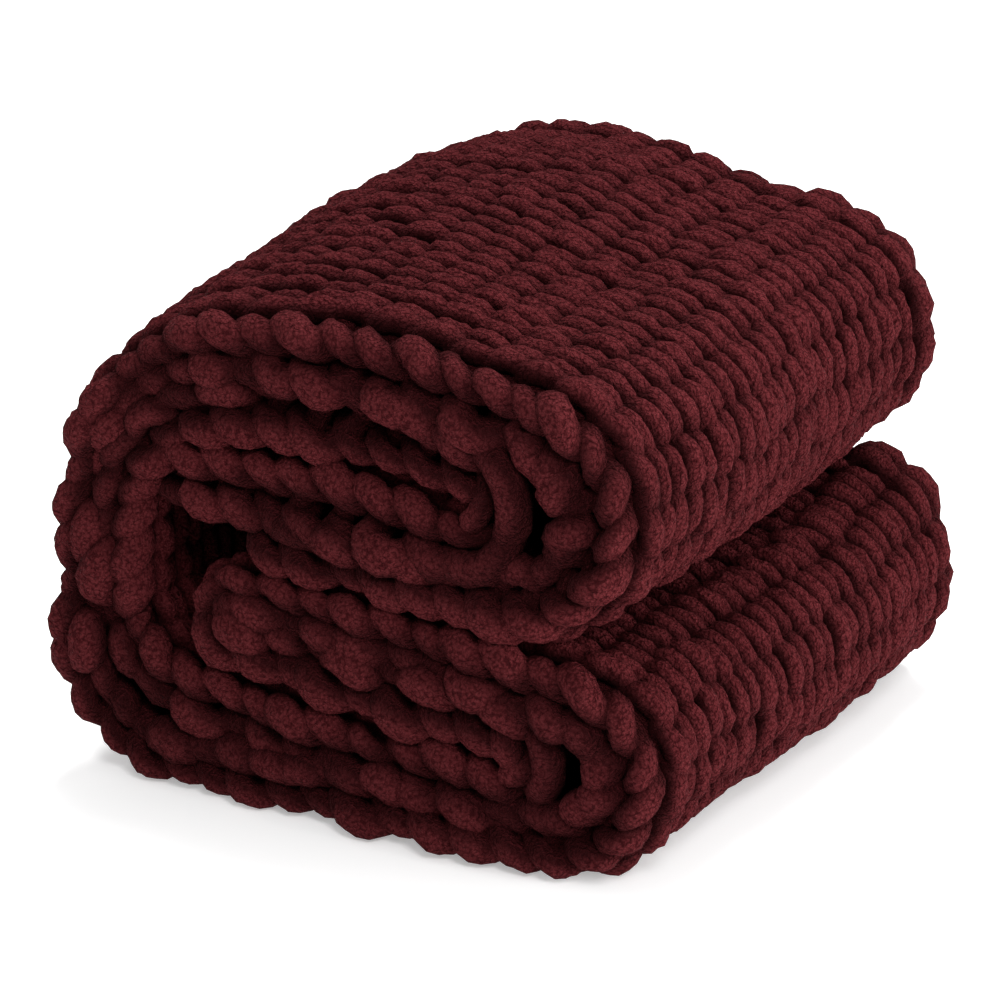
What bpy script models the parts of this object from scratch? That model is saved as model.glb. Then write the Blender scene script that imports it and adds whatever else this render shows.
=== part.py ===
"""Chunky knit blanket, folded into a compact stack.

One rectangular length of thick chenille knit. It is gathered up by folding: the two halves of the
strip lie on each other, and the double layer is then book-folded, so a cut across the stack shows
eight layers. The long fold wraps round the left side as a big C; the right side shows two rounded
noses, an upper and a lower one, with a crease between them. The free ends of the cloth lie inside,
in a hollow next to the big C.

Metres, +Z up. X runs along the front edge of the stack, towards the noses. Y runs along the folds,
from the front edges (-Y) to the back edges (+Y). The origin is under the middle of the stack, on
the surface it lies on.
"""
import math

import bmesh
import bpy
from mathutils import Vector

# ---------------------------------------------------------------- driving sizes (metres)
WIDTH = 0.405          # width of the cloth, which is the depth of the stack, front edges to back
CLOTH = 0.027          # thickness of the knit, from the tips of its stitches to its back loops
FLAT_STEP = 0.017      # spacing of cross-section points along a flat layer
TURN_STEP = 0.29       # greatest turn between two cross-section points, in radians
SMOOTH_PASSES = 6      # softening of the cross-section, on a 2 mm spacing

# ---------------------------------------------------------------- the folds, in cross-section
# Middle line of each layer: left end, right end, and how much the layer arches in between.
#  layer          x_left   z_left   x_right  z_right  arch
LAYERS = {
    "floor":     (-0.124,  0.0135,  0.118,   0.0135,  0.000),
    "floor_in":  (-0.078,  0.0640,  0.095,   0.0495,  0.000),
    "low_mid":   (-0.080,  0.1040,  0.095,   0.0845,  0.000),
    "low_top":   (-0.080,  0.1390,  0.116,   0.1200,  0.000),
    "up_bottom": (-0.074,  0.1685,  0.112,   0.1600,  0.000),
    "up_mid":    (-0.116,  0.1985,  0.068,   0.1960,  0.000),
    "up_top_in": (-0.040,  0.2460,  0.068,   0.2300,  0.002),
    "top":       (-0.030,  0.2935,  0.085,   0.2840,  0.004),
}
# Furthest point of the middle line in each turn, and how square the turn is (2 is an ellipse).
#  turn             x        z       square
TURNS = {
    "up_nose_in":  (0.0855,  0.2130, 2.0),
    "big_c_in":    (-0.1618, 0.1400, 2.7),
    "low_nose_in": (0.1130,  0.0670, 2.0),
    "small_u":     (-0.0980, 0.1215, 2.0),
    "low_nose":    (0.185,   0.0710, 2.2),
    "big_c":       (-0.1912, 0.1170, 2.7),
    "up_nose":     (0.173,   0.2200, 2.1),
}
# The cloth from its inner free end to its outer one. +1 runs to the right, -1 to the left.
COURSE = (
    ("up_mid", +1), ("up_nose_in", 0), ("up_top_in", -1), ("big_c_in", 0), ("floor_in", +1),
    ("low_nose_in", 0), ("low_mid", -1), ("small_u", 0), ("low_top", +1), ("low_nose", 0),
    ("floor", -1), ("big_c", 0), ("top", +1), ("up_nose", 0), ("up_bottom", -1),
)

# ---------------------------------------------------------------- unevenness along the depth
# How the stack changes from the front edges (-1) to the back edges (+1).
#  depth   top_lift  up_nose_out  low_nose_out  wall_out
DEPTH = (
    (-1.0, -0.001,   -0.006,      -0.003,       0.000),
    (-0.5,  0.013,    0.000,       0.002,       0.002),
    (0.0,   0.022,    0.002,       0.004,       0.001),
    (0.5,   0.026,    0.003,       0.007,      -0.002),
    (1.0,   0.021,    0.000,       0.008,       0.000),
)
# Soft swells and hollows in the stack: where, how wide, and how far each pushes the cloth.
#  swell             x       y       z       radius  push_x   push_z
SWELLS = {
    "wall_foot":    (-0.200, -0.190, 0.075,  0.050,  -0.006,  0.000),
    "wall_back":    (-0.200,  0.090, 0.150,  0.080,   0.004,  0.000),
    "top_hollow":   (0.030,  -0.040, 0.320,  0.060,   0.000, -0.004),
    "top_back":     (-0.060,  0.150, 0.330,  0.070,   0.000,  0.003),
    "nose_dent":    (0.195,   0.060, 0.230,  0.055,  -0.005,  0.000),
    "nose_swell":   (0.195,  -0.080, 0.215,  0.055,   0.003,  0.000),
    "foot_swell":   (0.205,  -0.020, 0.080,  0.060,   0.003,  0.000),
}
# Stations along the depth where the cross-section is laid: depth from -1 to 1, share of thickness.
#  depth    full
STATIONS = (
    (-1.0,   0.58),
    (-0.965, 0.86),
    (-0.90,  1.00),
    (-0.50,  1.00),
    (0.00,   1.00),
    (0.50,   1.00),
    (0.90,   1.00),
    (0.965,  0.86),
    (1.0,    0.58),
)


def ease(t):
    t = max(0.0, min(1.0, t))
    return t * t * (3.0 - 2.0 * t)


def layer_line(name, direction, count=60):
    x0, z0, x1, z1, arch = LAYERS[name]
    line = []
    for i in range(count + 1):
        t = i / count
        line.append((x0 + (x1 - x0) * t, z0 + (z1 - z0) * t + arch * math.sin(math.pi * t)))
    return line if direction > 0 else line[::-1]


def quarter_turn(start, far, square, count=24):
    """From the end of a layer to the furthest point of its turn."""
    line = []
    for i in range(1, count + 1):
        a = 0.5 * math.pi * i / count
        across = math.sin(a) ** (2.0 / square)
        along = math.cos(a) ** (2.0 / square) if i < count else 0.0
        line.append((start[0] + (far[0] - start[0]) * across, far[1] + (start[1] - far[1]) * along))
    return line


def middle_line():
    """The whole cloth's middle line in cross-section, 2 mm between points, softened."""
    line = []
    for k, (name, direction) in enumerate(COURSE):
        if direction:
            line += layer_line(name, direction)
        else:
            x, z, square = TURNS[name]
            after = COURSE[k + 1]
            line += quarter_turn(line[-1], (x, z), square)
            line += quarter_turn(layer_line(*after)[0], (x, z), square)[::-1][1:]
    total = sum(math.dist(a, b) for a, b in zip(line, line[1:]))
    count = round(total / 0.002)
    even, run, j = [line[0]], 0.0, 0
    for i in range(1, count):
        want = total * i / count
        while run + math.dist(line[j], line[j + 1]) < want:
            run += math.dist(line[j], line[j + 1])
            j += 1
        t = (want - run) / math.dist(line[j], line[j + 1])
        even.append((line[j][0] + (line[j + 1][0] - line[j][0]) * t,
                     line[j][1] + (line[j + 1][1] - line[j][1]) * t))
    even.append(line[-1])
    for _ in range(SMOOTH_PASSES):
        even = [even[0]] + [((a[0] + 2 * b[0] + c[0]) / 4, (a[1] + 2 * b[1] + c[1]) / 4)
                            for a, b, c in zip(even, even[1:], even[2:])] + [even[-1]]
    return even


def section_points():
    """Cross-section points with their normals: wide apart on flat layers, close in the turns."""
    line = middle_line()
    picked, used, last = [], 1.0, None
    for i, p in enumerate(line):
        a, b = line[max(0, i - 1)], line[min(len(line) - 1, i + 1)]
        t = Vector((b[0] - a[0], b[1] - a[1])).normalized()
        if last is not None:
            turn = math.acos(max(-1.0, min(1.0, t.dot(last))))
            used += math.dist(line[i - 1], p) / FLAT_STEP + turn / TURN_STEP
        last = t
        if used >= 1.0 or i == len(line) - 1:
            if i == len(line) - 1 and used < 0.5:
                picked.pop()
            picked.append((p, (-t.y, t.x)))
            used = 0.0
    return picked


def at_depth(v):
    for a, b in zip(DEPTH, DEPTH[1:]):
        if v <= b[0]:
            t = ease((v - a[0]) / (b[0] - a[0]))
            return [p + (q - p) * t for p, q in zip(a[1:], b[1:])]
    return list(DEPTH[-1][1:])


def place(x, z, v):
    """Where a cross-section point lies at depth v, with the stack's unevenness."""
    lift, up_out, low_out, wall_out = at_depth(v)
    y = v * WIDTH / 2
    raised = ease((z - 0.17) / 0.10) * (1.0 - 0.75 * ease((x + 0.02) / 0.12))
    px, pz = x, z + lift * raised
    if x > 0.03:
        upper = ease((z - 0.137) / 0.02)
        px += ease((x - 0.03) / 0.12) * (low_out + (up_out - low_out) * upper)
    elif x < -0.08:
        px -= wall_out * ease((-0.08 - x) / 0.08)
    for sx, sy, sz, radius, push_x, push_z in SWELLS.values():
        near = math.exp(-((px - sx) ** 2 + (y - sy) ** 2 + (pz - sz) ** 2) / radius ** 2)
        px += push_x * near
        pz += push_z * near
    return px, y, pz


def build_blanket():
    points = section_points()
    mesh = bpy.data.meshes.new("blanket")
    bm = bmesh.new()
    rings = []
    for v, full in STATIONS:
        half = CLOTH / 2 * full
        one = [bm.verts.new(place(p[0] + n[0] * half, p[1] + n[1] * half, v)) for p, n in points]
        two = [bm.verts.new(place(p[0] - n[0] * half, p[1] - n[1] * half, v)) for p, n in points]
        rings.append(one + two[::-1])
    count = len(rings[0])
    for a, b in zip(rings, rings[1:]):
        for i in range(count):
            j = (i + 1) % count
            bm.faces.new((a[i], a[j], b[j], b[i]))
    half_count = len(points)
    for ring, flip in ((rings[0], False), (rings[-1], True)):
        for i in range(half_count - 1):
            quad = (ring[i], ring[count - 1 - i], ring[count - 2 - i], ring[i + 1])
            bm.faces.new(quad[::-1] if flip else quad)
    bm.normal_update()
    bmesh.ops.recalc_face_normals(bm, faces=bm.faces)
    if bm.calc_volume(signed=True) < 0:
        bmesh.ops.reverse_faces(bm, faces=bm.faces)
    # the stack's own middle goes over the origin, and its flat underside on the surface
    xs = [v.co.x for v in bm.verts]
    zs = [v.co.z for v in bm.verts]
    shift = Vector((-(min(xs) + max(xs)) / 2, 0.0, -min(zs)))
    bmesh.ops.translate(bm, verts=bm.verts, vec=shift)
    bmesh.ops.triangulate(bm, faces=bm.faces)
    bm.to_mesh(mesh)
    bm.free()
    mesh.shade_smooth()
    blanket = bpy.data.objects.new("blanket", mesh)
    bpy.context.scene.collection.objects.link(blanket)
    return blanket


def chenille():
    """Deep wine-red chenille: no gloss, a soft pale sheen at grazing angles."""
    mat = bpy.data.materials.new("chenille")
    mat.use_nodes = True
    shader = mat.node_tree.nodes["Principled BSDF"]
    shader.inputs["Base Color"].default_value = (0.095, 0.014, 0.020, 1.0)
    shader.inputs["Roughness"].default_value = 0.95
    shader.inputs["Metallic"].default_value = 0.0
    shader.inputs["Sheen Weight"].default_value = 0.4
    return mat


for old in list(bpy.data.objects):
    bpy.data.objects.remove(old, do_unlink=True)
blanket = build_blanket()
blanket.data.materials.append(chenille())
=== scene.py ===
"""Looks of the folded chunky knit blanket: every stitch of its chenille yarn, laid on the folds."""
import math

import bpy
import numpy as np
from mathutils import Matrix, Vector


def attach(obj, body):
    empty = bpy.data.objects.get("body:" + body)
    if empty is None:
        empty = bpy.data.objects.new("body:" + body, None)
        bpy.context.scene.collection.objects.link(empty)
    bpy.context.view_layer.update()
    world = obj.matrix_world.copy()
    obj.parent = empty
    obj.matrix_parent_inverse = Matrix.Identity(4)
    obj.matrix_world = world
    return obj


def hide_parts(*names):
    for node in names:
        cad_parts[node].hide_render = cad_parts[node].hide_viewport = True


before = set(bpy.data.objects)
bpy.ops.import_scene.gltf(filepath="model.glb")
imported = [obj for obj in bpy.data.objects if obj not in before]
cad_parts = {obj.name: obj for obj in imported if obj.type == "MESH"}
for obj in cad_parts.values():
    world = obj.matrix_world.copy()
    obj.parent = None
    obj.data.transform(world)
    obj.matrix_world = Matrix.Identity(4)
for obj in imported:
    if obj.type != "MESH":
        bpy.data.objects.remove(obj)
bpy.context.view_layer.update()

# ---------------------------------------------------------------- the folds, as in the solid (metres)
WIDTH = 0.405
CLOTH = 0.027
SMOOTH_PASSES = 6
#  layer          x_left   z_left   x_right  z_right  arch
LAYERS = {
    "floor":     (-0.124,  0.0135,  0.118,   0.0135,  0.000),
    "floor_in":  (-0.078,  0.0640,  0.095,   0.0495,  0.000),
    "low_mid":   (-0.080,  0.1040,  0.095,   0.0845,  0.000),
    "low_top":   (-0.080,  0.1390,  0.116,   0.1200,  0.000),
    "up_bottom": (-0.074,  0.1685,  0.112,   0.1600,  0.000),
    "up_mid":    (-0.116,  0.1985,  0.068,   0.1960,  0.000),
    "up_top_in": (-0.040,  0.2460,  0.068,   0.2300,  0.002),
    "top":       (-0.030,  0.2935,  0.085,   0.2840,  0.004),
}
#  turn             x        z       square
TURNS = {
    "up_nose_in":  (0.0855,  0.2130, 2.0),
    "big_c_in":    (-0.1618, 0.1400, 2.7),
    "low_nose_in": (0.1130,  0.0670, 2.0),
    "small_u":     (-0.0980, 0.1215, 2.0),
    "low_nose":    (0.185,   0.0710, 2.2),
    "big_c":       (-0.1912, 0.1170, 2.7),
    "up_nose":     (0.173,   0.2200, 2.1),
}
COURSE = (
    ("up_mid", +1), ("up_nose_in", 0), ("up_top_in", -1), ("big_c_in", 0), ("floor_in", +1),
    ("low_nose_in", 0), ("low_mid", -1), ("small_u", 0), ("low_top", +1), ("low_nose", 0),
    ("floor", -1), ("big_c", 0), ("top", +1), ("up_nose", 0), ("up_bottom", -1),
)
#  depth   top_lift  up_nose_out  low_nose_out  wall_out
DEPTH = (
    (-1.0, -0.001,   -0.006,      -0.003,       0.000),
    (-0.5,  0.013,    0.000,       0.002,       0.002),
    (0.0,   0.022,    0.002,       0.004,       0.001),
    (0.5,   0.026,    0.003,       0.007,      -0.002),
    (1.0,   0.021,    0.000,       0.008,       0.000),
)
#  swell             x       y       z       radius  push_x   push_z
SWELLS = {
    "wall_foot":    (-0.200, -0.190, 0.075,  0.050,  -0.006,  0.000),
    "wall_back":    (-0.200,  0.090, 0.150,  0.080,   0.004,  0.000),
    "top_hollow":   (0.030,  -0.040, 0.320,  0.060,   0.000, -0.004),
    "top_back":     (-0.060,  0.150, 0.330,  0.070,   0.000,  0.003),
    "nose_dent":    (0.195,   0.060, 0.230,  0.055,  -0.005,  0.000),
    "nose_swell":   (0.195,  -0.080, 0.215,  0.055,   0.003,  0.000),
    "foot_swell":   (0.205,  -0.020, 0.080,  0.060,   0.003,  0.000),
}

# ---------------------------------------------------------------- the knit
YARN = 0.0074          # radius of the yarn, pile included
WALES = 13             # columns of stitches across the cloth
EDGE = 0.0105          # reach of the edge loops past the last stitch
COURSE_PITCH = 0.0250  # one row of stitches to the next
LOOP_REACH = 0.0212    # half the height of a loop
LOOP_LEAN = 0.125      # how far a loop's legs lean, in shares of a column
LOOP_DEPTH = 0.0074    # legs stand this far in front of the middle, heads and feet as far behind
LOOP_CREST = 2.3       # how flat the legs lie on the face: 0 is a plain wave
LOOSE_ALONG = 0.0030   # hand-knit unevenness, in each direction
LOOSE_ACROSS = 0.0014
LOOSE_DEPTH = 0.0017
RISE_DEPTH = 0.0074    # the yarn's crevices are in full shade this far below the crests
CURL_LENGTH = 0.038    # width of the strip along each side that curls to the back of the knit

# How strongly each stretch of cloth curls at its front and back edges (radians at the very edge),
# how far those edges are drawn into the stack, and where the two thick ropes of the curled edge lie:
# the outermost legs this far to the face of the knit, the edge loops this far to its back.
#  stretch          curl_front curl_back in_front in_back  to_face  to_back
CURLS = {
    "up_mid":      (1.60,      1.50,     0.002,   0.002,   0.0205,  0.0080),
    "up_nose_in":  (1.50,      1.45,     0.003,   0.004,   0.0050,  0.0160),
    "up_top_in":   (1.60,      1.50,     0.003,   0.003,   0.0160,  0.0165),
    "big_c_in":    (1.55,      1.50,     0.002,   0.002,   0.0080,  0.0055),
    "floor_in":    (1.60,      1.50,     0.002,   0.002,   0.0125,  0.0175),
    "low_nose_in": (1.50,      1.45,     0.003,   0.003,   0.0050,  0.0130),
    "low_mid":     (1.60,      1.50,     0.002,   0.002,   0.0145,  0.0080),
    "small_u":     (1.50,      1.45,     0.001,   0.001,   0.0060,  0.0080),
    "low_top":     (1.60,      1.50,     0.001,   0.002,   0.0100,  0.0090),
    "low_nose":    (1.65,      1.55,     0.000,   0.000,   0.0045,  0.0190),
    "floor":       (1.50,      1.45,     0.001,   0.000,   0.0030,  0.0175),
    "big_c":       (1.55,      1.50,     0.000,   0.000,   0.0065,  0.0060),
    "top":         (1.65,      1.55,     0.000,   0.000,   0.0030,  0.0200),
    "up_nose":     (1.70,      1.60,     0.000,   0.000,   0.0045,  0.0250),
    "up_bottom":   (1.60,      1.50,     0.001,   0.001,   0.0100,  0.0080),
}

# Where the soft stitches loft out further than the solid: where, how wide, how far they push out.
#  loft              x       y       z       radius  push_x   push_z
LOFTS = {
    "foot":         (0.210,  0.090, 0.045,  0.130,   0.010,  0.000),
    "crease_back":  (0.150,  0.220, 0.150,  0.105,   0.000,  0.017),
    "top_left":     (-0.110, 0.060, 0.320,  0.130,  -0.003,  0.007),
    "top_right":    (0.080,  0.150, 0.310,  0.120,   0.000,  0.006),
}

rng = np.random.default_rng(20240611)


def ease(t):
    t = np.clip(t, 0.0, 1.0)
    return t * t * (3.0 - 2.0 * t)


def layer_line(name, direction, count=60):
    x0, z0, x1, z1, arch = LAYERS[name]
    t = np.linspace(0, 1, count + 1)
    line = np.stack([x0 + (x1 - x0) * t, z0 + (z1 - z0) * t + arch * np.sin(np.pi * t)], 1)
    return line if direction > 0 else line[::-1]


def quarter_turn(start, far, square, count=24):
    a = 0.5 * np.pi * np.arange(1, count + 1) / count
    across = np.sin(a) ** (2.0 / square)
    along = np.clip(np.cos(a), 0, 1) ** (2.0 / square)
    along[-1] = 0.0
    return np.stack([start[0] + (far[0] - start[0]) * across, far[1] + (start[1] - far[1]) * along], 1)


def middle_line():
    """The cloth's middle line in cross-section, 2 mm between points, with each stretch's own middle."""
    line, marks = [], {}
    for k, (name, direction) in enumerate(COURSE):
        first = len(line)
        if direction:
            line += list(layer_line(name, direction))
        else:
            x, z, square = TURNS[name]
            line += list(quarter_turn(line[-1], (x, z), square))
            line += list(quarter_turn(layer_line(*COURSE[k + 1])[0], (x, z), square)[::-1][1:])
        marks[name] = (first, len(line) - 1)
    line = np.array(line)
    run = np.concatenate([[0], np.cumsum(np.linalg.norm(np.diff(line, axis=0), axis=1))])
    spans = {k: (run[a], run[b]) for k, (a, b) in marks.items()}
    even_run = np.linspace(0, run[-1], round(run[-1] / 0.002) + 1)
    keep = np.concatenate([[True], np.diff(run) > 1e-9])
    even = np.stack([np.interp(even_run, run[keep], line[keep, i]) for i in (0, 1)], 1)
    for _ in range(SMOOTH_PASSES):
        even[1:-1] = (even[:-2] + 2 * even[1:-1] + even[2:]) / 4
    return even, spans


def at_depth(v):
    table = np.array(DEPTH)
    i = np.clip(np.searchsorted(table[:, 0], v) - 1, 0, len(table) - 2)
    t = ease((v - table[i, 0]) / (table[i + 1, 0] - table[i, 0]))[..., None]
    row = table[i, 1:] + (table[i + 1, 1:] - table[i, 1:]) * t
    return row[..., 0], row[..., 1], row[..., 2], row[..., 3]


def place(x, y, z):
    """The stack's unevenness, the same as in the solid."""
    lift, up_out, low_out, wall_out = at_depth(np.clip(2 * y / WIDTH, -1, 1))
    raised = ease((z - 0.17) / 0.10) * (1.0 - 0.75 * ease((x + 0.02) / 0.12))
    pz = z + lift * raised
    upper = ease((z - 0.137) / 0.02)
    right = np.where(x > 0.03, ease((x - 0.03) / 0.12) * (low_out + (up_out - low_out) * upper), 0.0)
    left = np.where(x < -0.08, wall_out * ease((-0.08 - x) / 0.08), 0.0)
    px = x + right - left
    for sx, sy, sz, radius, push_x, push_z in SWELLS.values():
        near = np.exp(-((px - sx) ** 2 + (y - sy) ** 2 + (pz - sz) ** 2) / radius ** 2)
        px = px + push_x * near
        pz = pz + push_z * near
    return px, y, pz


MID, SPANS = middle_line()
RUN = np.concatenate([[0], np.cumsum(np.linalg.norm(np.diff(MID, axis=0), axis=1))])
LENGTH = RUN[-1]
TAN = np.gradient(MID, axis=0)
TAN /= np.linalg.norm(TAN, axis=1)[:, None]
SPANS = {k: (a * LENGTH / SPANS["up_bottom"][1], b * LENGTH / SPANS["up_bottom"][1]) for k, (a, b) in SPANS.items()}


def section_shift():
    """How far the solid was moved to stand over its origin, from its own outline."""
    out = []
    for v, full in ((-1, .58), (-.965, .86), (-.9, 1), (-.5, 1), (0, 1), (.5, 1), (.9, 1), (.965, .86), (1, .58)):
        for side in (1, -1):
            half = side * CLOTH / 2 * full
            x, _, _ = place(MID[:, 0] - TAN[:, 1] * half, np.full(len(MID), v * WIDTH / 2), MID[:, 1] + TAN[:, 0] * half)
            out += [x.min(), x.max()]
    return -(min(out) + max(out)) / 2


SHIFT_X = section_shift()


def by_stretch(column, s):
    """A value from the CURLS table, blended along the cloth."""
    centres = [(a + b) / 2 for a, b in (SPANS[n] for n, _ in COURSE)]
    values = [CURLS[n][column] for n, _ in COURSE]
    return np.interp(s, centres, values)


def wave(s, seed, length, octaves=2):
    """A smooth wandering value between about -1 and 1 along s."""
    r = np.random.default_rng(seed)
    total = np.zeros_like(s)
    for k in range(octaves):
        n = int(LENGTH * 1.3 / length * 2 ** k) + 4
        knots = r.uniform(-1, 1, n)
        p = (s + 0.2) / (length / 2 ** k)
        i = np.clip(np.floor(p).astype(int), 0, n - 2)
        t = ease(p - i)
        total += (knots[i] * (1 - t) + knots[i + 1] * t) / 2 ** k
    return total / 1.4


def cloth_point(s, u, n):
    """From a point on the flat knit (along, across, out) to the folded one."""
    half = KNIT / 2
    side = np.where(u < 0, -1.0, 1.0)
    curl = np.where(u < 0, by_stretch(0, s), by_stretch(1, s))
    curl = curl * (1 + 0.22 * np.where(u < 0, wave(s, 11, 0.11), wave(s, 12, 0.12)))
    draw = np.where(u < 0, by_stretch(2, s), by_stretch(3, s))
    draw = draw + 0.0025 * np.where(u < 0, wave(s, 13, 0.09), wave(s, 14, 0.09))
    q = np.clip(CURL_LENGTH - (half - np.abs(u)), 0, None)
    radius = CURL_LENGTH / curl
    phi = q / radius
    flat = half - CURL_LENGTH
    y = np.where(q > 0, side * (flat + radius * np.sin(phi)) + side * n * np.sin(phi), u)
    # the legs face forward at about half of the curl and the edge loops near its end
    face, back = by_stretch(4, s), by_stretch(5, s)
    carry = (face + back - 0.7 * LOOP_DEPTH) / 0.56
    flare = 0.855 * carry - back
    out = np.where(q > 0, n * np.cos(phi) - carry * (1 - np.cos(phi)) / (1 - np.cos(curl)), n)
    out = out + flare * ease(1 - (half - np.abs(u)) / 0.06)
    y = y - side * draw * ease(1 - (half - np.abs(u)) / 0.09)
    sc = np.clip(s, 0, LENGTH)
    over = s - sc
    tx, tz = np.interp(sc, RUN, TAN[:, 0]), np.interp(sc, RUN, TAN[:, 1])
    x = np.interp(sc, RUN, MID[:, 0]) + tx * over - tz * out
    z = np.interp(sc, RUN, MID[:, 1]) + tz * over + tx * out
    x, y, z = place(x, y, z)
    for lx, ly, lz, radius, push_x, push_z in LOFTS.values():
        near = np.exp(-((x - lx) ** 2 + (y - ly) ** 2 + (z - lz) ** 2) / radius ** 2)
        x = x + push_x * near
        z = z + push_z * near
    return np.stack([x + SHIFT_X, y, z], -1)


KNIT = WIDTH + 0.013   # the knit's own width, before the curl and the yarn's thickness
COLUMN = (KNIT - 2 * EDGE) / WALES
START = -0.016         # the inner free end's stitches reach this far past the solid's end
ROWS = round((LENGTH - START - 2 * LOOP_REACH) / COURSE_PITCH) + 1
PITCH = (LENGTH - START - 2 * LOOP_REACH) / (ROWS - 1)
ROW_S = LOOP_REACH + START + PITCH * np.arange(ROWS)
print("knit: length", round(float(LENGTH), 3), "rows", ROWS, "column", round(COLUMN, 4), "pitch", round(float(PITCH), 4), "shift", SHIFT_X)


# ---------------------------------------------------------------- one row of stitches
def catmull(points, count):
    """Smooth curve through points (..., k, d), count samples."""
    p = np.concatenate([2 * points[..., :1, :] - points[..., 1:2, :], points, 2 * points[..., -1:, :] - points[..., -2:-1, :]], -2)
    k = points.shape[-2] - 1
    t = np.linspace(0, k, count)
    i = np.minimum(t.astype(int), k - 1)
    f = (t - i)[:, None]
    a, b, c, d = (p[..., i + m, :] for m in range(4))
    return 0.5 * (2 * b + (c - a) * f + (2 * a - 5 * b + 4 * c - d) * f ** 2 + (3 * b - a - 3 * c + d) * f ** 3)


def row_lines(rows, per_loop, hook):
    """Centre lines of rows of stitches: local (s, u, n) and share of the full yarn radius."""
    m = len(rows)
    t = np.linspace(0, 2 * np.pi * WALES, per_loop * WALES + 1)
    t = t + 0.18 * np.sin(2 * t)   # points lie closer on the legs, which show
    lean = LOOP_LEAN * COLUMN
    u = -COLUMN * WALES / 2 + COLUMN * t / (2 * np.pi) + lean * np.sin(2 * t)
    s = -LOOP_REACH * np.cos(t)
    # the outermost legs are slack and full: they take more room, stand out rounder and lean more
    rim = KNIT / 2 - EDGE - np.abs(u)
    slack = ease((0.0330 - rim) / 0.0230)
    u = u - np.sign(u) * 0.0012 * ease(rim / 0.030) * (1 - rim / 0.2) + 0.0030 * slack ** 3 * np.sin(2 * t)
    n = -LOOP_DEPTH * (np.tanh(LOOP_CREST * np.cos(2 * t)) / np.tanh(LOOP_CREST) * (1 - slack) + 1.35 * np.cos(2 * t) * slack)
    fat = 0.850 - 0.075 * np.cos(2 * t)
    fat = fat * (1.0 + 0.33 * slack)
    u, s, n, fat = (np.repeat(a[None], m, 0) for a in (u, s, n, fat))
    # hand-knit unevenness: four free values a stitch (foot, leg, head, leg), blended between
    keys = 4 * WALES
    p = t / (np.pi / 2)
    i = np.minimum(p.astype(int), keys - 1)
    f = ease(p - i)
    def loose(which, amount):
        v = LOOSE[which][rows]
        return amount * (v[:, i] * (1 - f) + v[:, i + 1] * f)
    s = s + loose(0, LOOSE_ALONG)
    u = u + loose(1, LOOSE_ACROSS)
    n = n + loose(2, LOOSE_DEPTH)
    fat = fat + loose(3, 0.075)
    big = np.where(u < 0, EDGE_SIZE[0][rows][:, None], EDGE_SIZE[1][rows][:, None]) * slack[None]
    fat = fat * (1 + 0.20 * big)
    n = n + 0.0032 * big
    # the loops that turn round the cloth's two side edges
    c = PITCH
    out = EDGE
    turn = np.array([  # out, along, depth, share of yarn
        (0.00 * out, 0.00 * c, -1.00, 0.90),
        (0.32 * out, -0.20 * c, -0.80, 1.06),
        (0.72 * out, -0.08 * c, -0.20, 1.30),
        (1.05 * out, 0.26 * c, 0.10, 1.42),
        (1.22 * out, 0.62 * c, -0.05, 1.38),
        (0.85 * out, 0.95 * c, -0.80, 1.08),
        (-0.20 * out, 1.10 * c, -1.50, 0.80),
    ])
    ends = []
    for side in (-1, 1):
        at = 0 if side < 0 else -1
        k = np.repeat(turn[None], m, 0).copy()
        jig = EDGE_LOOSE[0 if side < 0 else 1][rows]
        k[:, 1:, 0] += 0.0024 * jig[:, :6]
        k[:, 1:, 1] += 0.0028 * jig[:, 6:12]
        k[:, 1:, 2] += 0.40 * jig[:, 12:18]
        k[:, 1:, 3] += 0.09 * jig[:, 18:24]
        size = EDGE_SIZE[0 if side < 0 else 1][np.minimum(rows + 1, ROWS - 1)][:, None]
        k[:, 1:6, 3] *= 1 - 0.18 * size
        k[:, 1:6, 2] -= 0.42 * size
        line = np.stack([s[:, at, None] + k[..., 1], u[:, at, None] + side * k[..., 0],
                         n[:, at, None] + (k[..., 2] + 1) * LOOP_DEPTH, k[..., 3]], -1)
        ends.append(catmull(line, hook))
    body = np.stack([s, u, n, fat], -1)
    whole = np.concatenate([ends[0][:, ::-1], body[:, 1:-1], ends[1]], 1)
    whole[..., 0] += ROW_S[rows][:, None]
    for _ in range(2):
        whole[:, 1:-1] = (whole[:, :-2] + 2 * whole[:, 1:-1] + whole[:, 2:]) / 4
    return whole


LOOSE = [np.clip(rng.normal(0, 0.6, (ROWS, 4 * WALES + 1)), -1.3, 1.3) for _ in range(4)]
EDGE_LOOSE = [np.clip(rng.normal(0, 0.6, (ROWS, 24)), -1.3, 1.3) for _ in range(2)]
EDGE_SIZE = [rng.uniform(0.2, 1.0, ROWS) * np.where(rng.random(ROWS) < 0.5, 1, -1) for _ in range(2)]


def wander(line):
    """Columns drift and rows bunch a little along the cloth."""
    s, u = line[..., 0], line[..., 1]
    du = 0.0055 * wave(s + 0.35 * u, 21, 0.13) + 0.0028 * wave(s - 0.5 * u, 22, 0.06)
    ds = 0.0050 * wave(u + 0.6 + 0.15 * s, 23, 0.10) + 0.0030 * wave(u * 1.3 + 0.9 + 0.7 * s, 24, 0.07)
    inner = ease((KNIT / 2 - np.abs(u)) / 0.04)
    line[..., 1] = u + du * inner
    line[..., 0] = s + ds
    line[..., 3] = line[..., 3] * (1 + 0.09 * wave(s + 2.3 * u, 25, 0.045))
    return line


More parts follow.
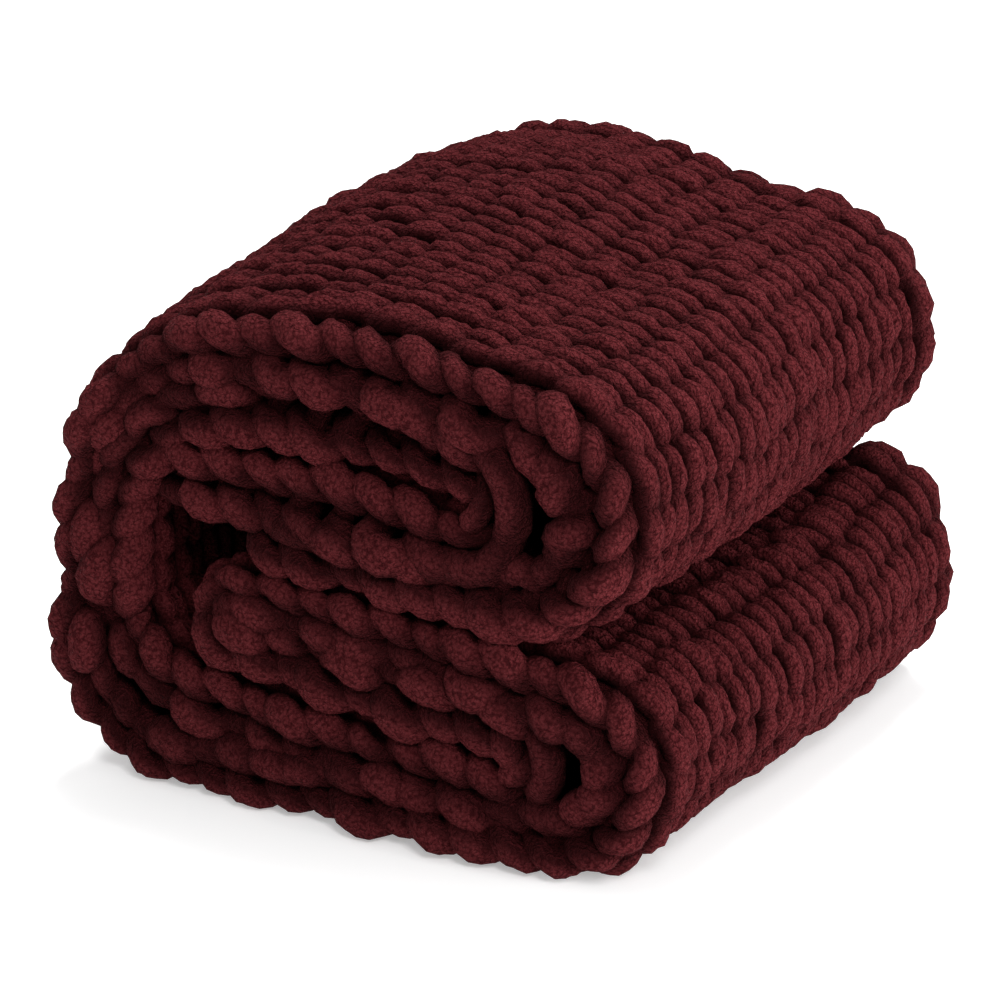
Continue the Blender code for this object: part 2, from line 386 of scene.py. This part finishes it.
# ---------------------------------------------------------------- noise and sweeping
def lattice(points, size, seed):
    """Smooth value noise, -1 to 1."""
    p = points / size + 1000.0
    i = np.floor(p).astype(np.int64)
    f = p - i
    f = f * f * (3 - 2 * f)
    def corner(dx, dy, dz):
        h = (i[:, 0] + dx) * 73856093 ^ (i[:, 1] + dy) * 19349663 ^ (i[:, 2] + dz) * 83492791 ^ (seed * 2654435761)
        h = (h ^ (h >> 13)) * 1274126177 & 0xFFFFFFFF
        return ((h ^ (h >> 16)) & 0xFFFF) / 32767.5 - 1.0
    total = 0
    for dx in (0, 1):
        for dy in (0, 1):
            for dz in (0, 1):
                w = (f[:, 0] if dx else 1 - f[:, 0]) * (f[:, 1] if dy else 1 - f[:, 1]) * (f[:, 2] if dz else 1 - f[:, 2])
                total = total + w * corner(dx, dy, dz)
    return total


def sweep(centre, radius, sides, outward, below):
    """Tubes along centre lines (m, k, 3). Gives vertices, faces, straightened-yarn coordinates and rise.

    Rise is 1 on top of a stitch and falls to 0 where the yarn sinks between its neighbours; the material darkens the
    colour by it as painted shade."""
    m, k, _ = centre.shape
    tan = np.gradient(centre, axis=1)
    tan /= np.linalg.norm(tan, axis=2)[..., None]
    up = np.zeros((m, k, 3))
    first = np.cross(tan[:, 0], np.array([0.3, 0.9, 0.2]))
    up[:, 0] = first / np.linalg.norm(first, axis=1)[:, None]
    for i in range(1, k):
        v1 = centre[:, i] - centre[:, i - 1]
        c1 = np.maximum((v1 * v1).sum(1), 1e-18)[:, None]
        r = up[:, i - 1] - 2 / c1 * (v1 * up[:, i - 1]).sum(1)[:, None] * v1
        t = tan[:, i - 1] - 2 / c1 * (v1 * tan[:, i - 1]).sum(1)[:, None] * v1
        v2 = tan[:, i] - t
        c2 = np.maximum((v2 * v2).sum(1), 1e-18)[:, None]
        r = r - 2 / c2 * (v2 * r).sum(1)[:, None] * v2
        up[:, i] = r / np.linalg.norm(r, axis=1)[:, None]
    side = np.cross(tan, up)
    run = np.concatenate([np.zeros((m, 1)), np.cumsum(np.linalg.norm(np.diff(centre, axis=1), axis=2), 1)], 1)
    a = 2 * np.pi * (np.arange(sides)[None, None] + 0.5 * (np.arange(k) % 2)[None, :, None]) / sides
    ca, sa = np.cos(a), np.sin(a)
    dirs = up[:, :, None] * ca[..., None] + side[:, :, None] * sa[..., None]
    ring = centre[:, :, None] + dirs * radius[:, :, None, None]
    yarn = np.stack([np.broadcast_to(run[:, :, None], a.shape[:0] + (m, k, sides)) + 7.3 * np.arange(m)[:, None, None],
                     np.broadcast_to(YARN * ca, (m, k, sides)), np.broadcast_to(YARN * sa, (m, k, sides))], -1)
    caps = np.stack([centre[:, 0] - tan[:, 0] * radius[:, :1] * 0.6, centre[:, -1] + tan[:, -1] * radius[:, -1:] * 0.6], 1)
    verts = np.concatenate([ring.reshape(m, -1, 3), caps], 1)
    normals = np.concatenate([dirs.reshape(m, -1, 3), np.stack([-tan[:, 0], tan[:, -1]], 1)], 1)
    coords = np.concatenate([yarn.reshape(m, -1, 3), yarn.reshape(m, -1, 3)[:, [0, -1]]], 1)
    height = below[:, :, None] + radius[:, :, None] * ((dirs * outward[:, :, None]).sum(3) - 1)
    rise = ease(1 + height / RISE_DEPTH).reshape(m, -1)
    rise = np.concatenate([rise, rise[:, [0, -1]]], 1).ravel()
    i = np.arange(k - 1)[:, None]
    j = np.arange(sides)[None]
    j1 = (j + 1) % sides
    a0, a1, b0, b1 = i * sides + j, i * sides + j1, (i + 1) * sides + j, (i + 1) * sides + j1
    quads = np.stack([a0, a1, b1, b0], -1).reshape(-1, 4)
    last = (k - 1) * sides
    jj = np.arange(sides)
    tri0 = np.stack([(jj + 1) % sides, jj, np.full(sides, k * sides)], -1)
    tri1 = np.stack([last + jj, last + (jj + 1) % sides, np.full(sides, k * sides + 1)], -1)
    size = verts.shape[1]
    add = (np.arange(m) * size)[:, None, None]
    return (verts.reshape(-1, 3), normals.reshape(-1, 3), coords.reshape(-1, 3), rise,
            (quads[None] + add).reshape(-1, 4), np.concatenate([(tri0[None] + add).reshape(-1, 3), (tri1[None] + add).reshape(-1, 3)]))


def fluff(verts, normals):
    """Soft tufts of the pile, with creases between, and the flat underside on the floor."""
    tufts = 0.0015 * np.abs(lattice(verts, 0.0090, 3)) + 0.0015 * np.abs(lattice(verts, 0.0052, 5)) - 0.0008
    fuzz = 0.00050 * lattice(verts, 0.0028, 7) + 0.0005 * lattice(verts, 0.0160, 9)
    verts = verts + normals * (tufts + fuzz)[:, None]
    low = verts[:, 2]
    verts[:, 2] = np.where(low < 0.004, 0.0003 + 0.0037 * np.exp(np.minimum(low - 0.004, 0) / 0.0037), low)
    return verts


def yarn_piece(name, parts):
    """One mesh object from several sweeps."""
    vs, cs, rs, quads, tris, base = [], [], [], [], [], 0
    for part in parts:
        v, n, c, r, q, t = sweep(*part)
        vs.append(fluff(v, n))
        cs.append(c)
        rs.append(r)
        quads.append(q + base)
        tris.append(t + base)
        base += len(v)
    v, c, r, q, t = (np.concatenate(a) for a in (vs, cs, rs, quads, tris))
    mesh = bpy.data.meshes.new(name)
    mesh.vertices.add(len(v))
    mesh.vertices.foreach_set("co", v.astype(np.float32).ravel())
    mesh.loops.add(q.size + t.size)
    mesh.loops.foreach_set("vertex_index", np.concatenate([q.ravel(), t.ravel()]).astype(np.int32))
    mesh.polygons.add(len(q) + len(t))
    starts = np.concatenate([4 * np.arange(len(q)), q.size + 3 * np.arange(len(t))])
    mesh.polygons.foreach_set("loop_start", starts.astype(np.int32))
    mesh.update(calc_edges=True)
    mesh.validate()
    mesh.shade_smooth()
    attr = mesh.attributes.new("yarn", "FLOAT_VECTOR", "POINT")
    attr.data.foreach_set("vector", c.astype(np.float32).ravel())
    mesh.attributes.new("rise", "FLOAT", "POINT").data.foreach_set("value", r.astype(np.float32))
    obj = bpy.data.objects.new(name, mesh)
    bpy.context.scene.collection.objects.link(obj)
    print(name, "triangles", 2 * len(q) + len(t))
    return obj


def laid(rows, per_loop, hook):
    """Rows of stitches on the folds: centre line, radius, which way is out, and depth below the face."""
    line = wander(row_lines(rows, per_loop, hook))
    ls, lu, ln = line[..., 0], line[..., 1], line[..., 2]
    outward = cloth_point(ls, lu, ln + 0.001) - cloth_point(ls, lu, ln - 0.001)
    outward /= np.maximum(np.linalg.norm(outward, axis=2), 1e-9)[..., None]
    level = LOOP_DEPTH * ease((KNIT / 2 - EDGE + 0.004 - np.abs(lu)) / 0.006)
    return cloth_point(ls, lu, ln), YARN * line[..., 3], outward, ln - level


def strands(rows, per_loop, hook, sides):
    centre, radius, outward, below = laid(rows, per_loop, hook)
    return centre, radius, sides, outward, below


def split_strands(rows):
    """Rows hidden inside the stack: full detail at the side edges, plain in between."""
    per_loop, hook = (24, 11)
    whole = laid(rows, per_loop, hook)
    k = whole[0].shape[1]
    edge = hook + int(2.1 * per_loop)
    picks = ((np.arange(edge + 1), 14), (np.arange(edge - 1, k - edge + 2, 3), 7), (np.arange(k - edge - 1, k), 14))
    return [(whole[0][:, at], whole[1][:, at], sides, whole[2][:, at], whole[3][:, at]) for at, sides in picks]


# ---------------------------------------------------------------- chenille
def chenille(name, dark, middle, light):
    mat = bpy.data.materials.new(name)
    mat.use_nodes = True
    nt = mat.node_tree
    nodes, links = nt.nodes, nt.links
    bsdf = nodes["Principled BSDF"]
    bsdf.inputs["Roughness"].default_value = 0.95
    bsdf.inputs["Specular IOR Level"].default_value = 0.03
    bsdf.inputs["Sheen Weight"].default_value = 0.14
    bsdf.inputs["Sheen Roughness"].default_value = 0.50
    bsdf.inputs["Sheen Tint"].default_value = (0.52, 0.075, 0.090, 1)
    coord = nodes.new("ShaderNodeTexCoord")
    attr = nodes.new("ShaderNodeAttribute")
    attr.attribute_type = "GEOMETRY"
    attr.attribute_name = "yarn"

    def put(value, socket):
        if isinstance(value, (int, float)):
            socket.default_value = value
        else:
            links.new(value, socket)

    def calc(kind, a, b=0.0):
        node = nodes.new("ShaderNodeMath")
        node.operation = kind
        put(a, node.inputs[0])
        put(b, node.inputs[1])
        return node.outputs[0]

    def noise(vector, scale, detail, rough):
        node = nodes.new("ShaderNodeTexNoise")
        node.inputs["Scale"].default_value = scale
        node.inputs["Detail"].default_value = detail
        node.inputs["Roughness"].default_value = rough
        links.new(vector, node.inputs["Vector"])
        return node

    place_on = coord.outputs["Object"]
    # the pile's curls are uneven, so the pattern's own coordinates are pushed about a little
    push = noise(place_on, 330, 2, 0.6)
    shifted = nodes.new("ShaderNodeVectorMath")
    shifted.operation = "MULTIPLY_ADD"
    shifted.inputs[1].default_value = (0.0040, 0.0040, 0.0040)
    links.new(push.outputs["Color"], shifted.inputs[0])
    links.new(place_on, shifted.inputs[2])

    def curls(size):
        """Curled fibres, rounded, with cracks between them: 1 on top of a curl, 0 in a crack."""
        node = nodes.new("ShaderNodeTexVoronoi")
        node.feature = "F1"
        node.inputs["Scale"].default_value = 1.0 / size
        links.new(shifted.outputs[0], node.inputs["Vector"])
        d = node.outputs["Distance"]
        return calc("SUBTRACT", 1.0, calc("MULTIPLY", d, d))

    curl = curls(0.0021)
    # pile fibres stand out from the yarn's core, so they show as short streaks across it
    stretch = nodes.new("ShaderNodeMapping")
    stretch.inputs["Scale"].default_value = (620, 300, 300)
    links.new(attr.outputs["Vector"], stretch.inputs["Vector"])
    streak = noise(stretch.outputs["Vector"], 1.0, 3, 0.65).outputs["Fac"]
    grain = noise(place_on, 800, 3, 0.75).outputs["Fac"]
    clump = noise(place_on, 330, 2, 0.5).outputs["Fac"]
    broad = noise(place_on, 24, 2, 0.5).outputs["Fac"]

    height = calc("ADD", calc("ADD", calc("MULTIPLY", curl, 0.72), calc("MULTIPLY", clump, 0.36)),
                  calc("ADD", calc("MULTIPLY", streak, 0.22), calc("MULTIPLY", grain, 0.34)))
    # the colour follows the pile's height: the cracks between curls get painted shade and the curl tops are lighter,
    # while the clump, grain, streak and broad noises add tone that differs at random
    tone_and_crack_shade = calc("MULTIPLY", calc("ADD", height, calc("MULTIPLY", broad, 0.15)), 0.64)
    ramp = nodes.new("ShaderNodeValToRGB")
    r = ramp.color_ramp
    r.elements[0].position, r.elements[0].color = 0.52, (*dark, 1)
    r.elements[1].position, r.elements[1].color = 0.79, (*light, 1)
    e = r.elements.new(0.655)
    e.color = (*middle, 1)
    links.new(tone_and_crack_shade, ramp.inputs["Fac"])
    # painted shade: the base colour is scaled by the yarn's rise, down to 13% where the yarn sinks between the
    # stitches, for the little light that comes back out of the deep pile
    rise = nodes.new("ShaderNodeAttribute")
    rise.attribute_type = "GEOMETRY"
    rise.attribute_name = "rise"
    shade = nodes.new("ShaderNodeVectorMath")
    shade.operation = "SCALE"
    links.new(ramp.outputs["Color"], shade.inputs[0])
    links.new(calc("ADD", 0.13, calc("MULTIPLY", rise.outputs["Fac"], 0.87)), shade.inputs["Scale"])
    links.new(shade.outputs["Vector"], bsdf.inputs["Base Color"])
    bump = nodes.new("ShaderNodeBump")
    bump.inputs["Strength"].default_value = 1.0
    bump.inputs["Distance"].default_value = 0.0070
    links.new(height, bump.inputs["Height"])
    links.new(bump.outputs["Normal"], bsdf.inputs["Normal"])
    return mat


# pile colours from the cracks to the curl tops: the dark end is partly painted shade in the cracks, the rest is the
# yarn's own dark red
plush = chenille("chenille_plush", (0.038, 0.0044, 0.0058), (0.076, 0.0107, 0.0128), (0.113, 0.0188, 0.0218))

# ---------------------------------------------------------------- rows to pieces
def is_outer(s):
    """Rows that show from outside the stack."""
    for name in ("low_nose", "big_c", "top", "up_nose"):
        a, b = SPANS[name]
        if a - 0.02 < s < b + 0.02:
            return True
    return False


outer = np.array([r for r in range(ROWS) if is_outer(ROW_S[r])])
inner = np.array([r for r in range(ROWS) if not is_outer(ROW_S[r])])
pieces = []
for k, group in enumerate(np.array_split(outer, max(1, math.ceil(len(outer) / 13)))):
    pieces.append(yarn_piece(f"knit_outer_{k + 1}", [strands(group, 29, 14, 18)]))
for k, group in enumerate(np.array_split(inner, max(1, math.ceil(len(inner) / 26)))):
    pieces.append(yarn_piece(f"knit_inner_{k + 1}", split_strands(group)))

# ---------------------------------------------------------------- the cloth's own middle surface
def ground():
    """The cloth itself as a thin folded sheet, inside its stitches."""
    ss = np.arange(0.004, LENGTH - 0.003, 0.009)
    us = np.linspace(-KNIT / 2 + 0.016, KNIT / 2 - 0.016, 41)
    s, u = np.meshgrid(ss, us, indexing="ij")
    sheets = [cloth_point(s, u, np.full_like(s, d)) for d in (0.0010, -0.0010)]
    a, b = s.shape
    v = np.concatenate([x.reshape(-1, 3) for x in sheets])
    v[:, 2] = np.maximum(v[:, 2], 0.002)
    idx = np.arange(a * b).reshape(a, b)
    top = np.stack([idx[:-1, :-1], idx[1:, :-1], idx[1:, 1:], idx[:-1, 1:]], -1).reshape(-1, 4)
    rim = np.concatenate([idx[0], idx[1:, -1], idx[-1, -2::-1], idx[-2:0:-1, 0]])
    nxt = np.roll(rim, -1)
    side = np.stack([rim, nxt, nxt + a * b, rim + a * b], -1)
    faces = np.concatenate([top[:, ::-1], top + a * b, side[:, ::-1]])
    mesh = bpy.data.meshes.new("knit_ground")
    mesh.from_pydata(v.tolist(), [], faces.tolist())
    import bmesh
    bm = bmesh.new()
    bm.from_mesh(mesh)
    bmesh.ops.recalc_face_normals(bm, faces=bm.faces)
    bm.to_mesh(mesh)
    bm.free()
    mesh.shade_smooth()
    obj = bpy.data.objects.new("knit_ground", mesh)
    bpy.context.scene.collection.objects.link(obj)
    return obj, (KNIT - 0.032, float(ss[-1] - ss[0]))


sheet, flat = ground()
for p in pieces + [sheet]:
    p.data.materials.append(plush)
    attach(p, "root")
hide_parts("blanket")

# ---------------------------------------------------------------- floor, light, camera
def stage_floor():
    mesh = bpy.data.meshes.new("floor")
    e = 6.0
    mesh.from_pydata([(-e, -e, 0), (e, -e, 0), (e, e, 0), (-e, e, 0)], [], [(0, 1, 2, 3)])
    obj = bpy.data.objects.new("floor", mesh)
    bpy.context.scene.collection.objects.link(obj)
    mat = bpy.data.materials.new("pale_floor")
    mat.use_nodes = True
    b = mat.node_tree.nodes["Principled BSDF"]
    b.inputs["Base Color"].default_value = (0.92, 0.92, 0.92, 1)
    b.inputs["Emission Color"].default_value = (1, 1, 1, 1)
    b.inputs["Emission Strength"].default_value = 0.35
    b.inputs["Roughness"].default_value = 0.9
    mesh.materials.append(mat)


stage_floor()
world = bpy.data.worlds.new("studio")
bpy.context.scene.world = world
world.use_nodes = True
world.node_tree.nodes["Background"].inputs["Color"].default_value = (1, 1, 1, 1)
world.node_tree.nodes["Background"].inputs["Strength"].default_value = 0.50
bpy.context.scene.view_settings.view_transform = "Standard"


def area_light(name, where, size, power, at=(0, 0, 0.12)):
    data = bpy.data.lights.new(name, "AREA")
    data.size = size
    data.energy = power
    obj = bpy.data.objects.new(name, data)
    obj.location = where
    obj.rotation_euler = (Vector(at) - Vector(where)).to_track_quat("-Z", "Y").to_euler()
    bpy.context.scene.collection.objects.link(obj)


area_light("overhead", (-0.2, 0.9, 2.8), 1.3, 98)
area_light("front", (1.4, -1.7, 1.9), 0.8, 31)
area_light("side", (2.2, 0.0, 0.38), 0.9, 42)

AZIMUTH, ELEVATION = 29.2, 19.7
RANGE, FOCAL = 2.05, 3342.0
az, el = math.radians(AZIMUTH), math.radians(ELEVATION)
right = Vector((math.cos(az), math.sin(az), 0))
forward = Vector((-math.sin(az) * math.cos(el), math.cos(az) * math.cos(el), -math.sin(el)))
upward = right.cross(forward)
target = Vector((SHIFT_X, 0, 0.15)) + right * -0.0117 + upward * -0.0047
cam_data = bpy.data.cameras.new("camera")
cam_data.sensor_fit = "HORIZONTAL"
cam_data.sensor_width = 36.0
cam_data.lens = FOCAL * 36.0 / 1000.0
cam_data.clip_end = 50
cam = bpy.data.objects.new("camera", cam_data)
cam.location = target - forward * RANGE
cam.rotation_euler = forward.to_track_quat("-Z", "Y").to_euler()
bpy.context.scene.collection.objects.link(cam)
bpy.context.scene.camera = cam
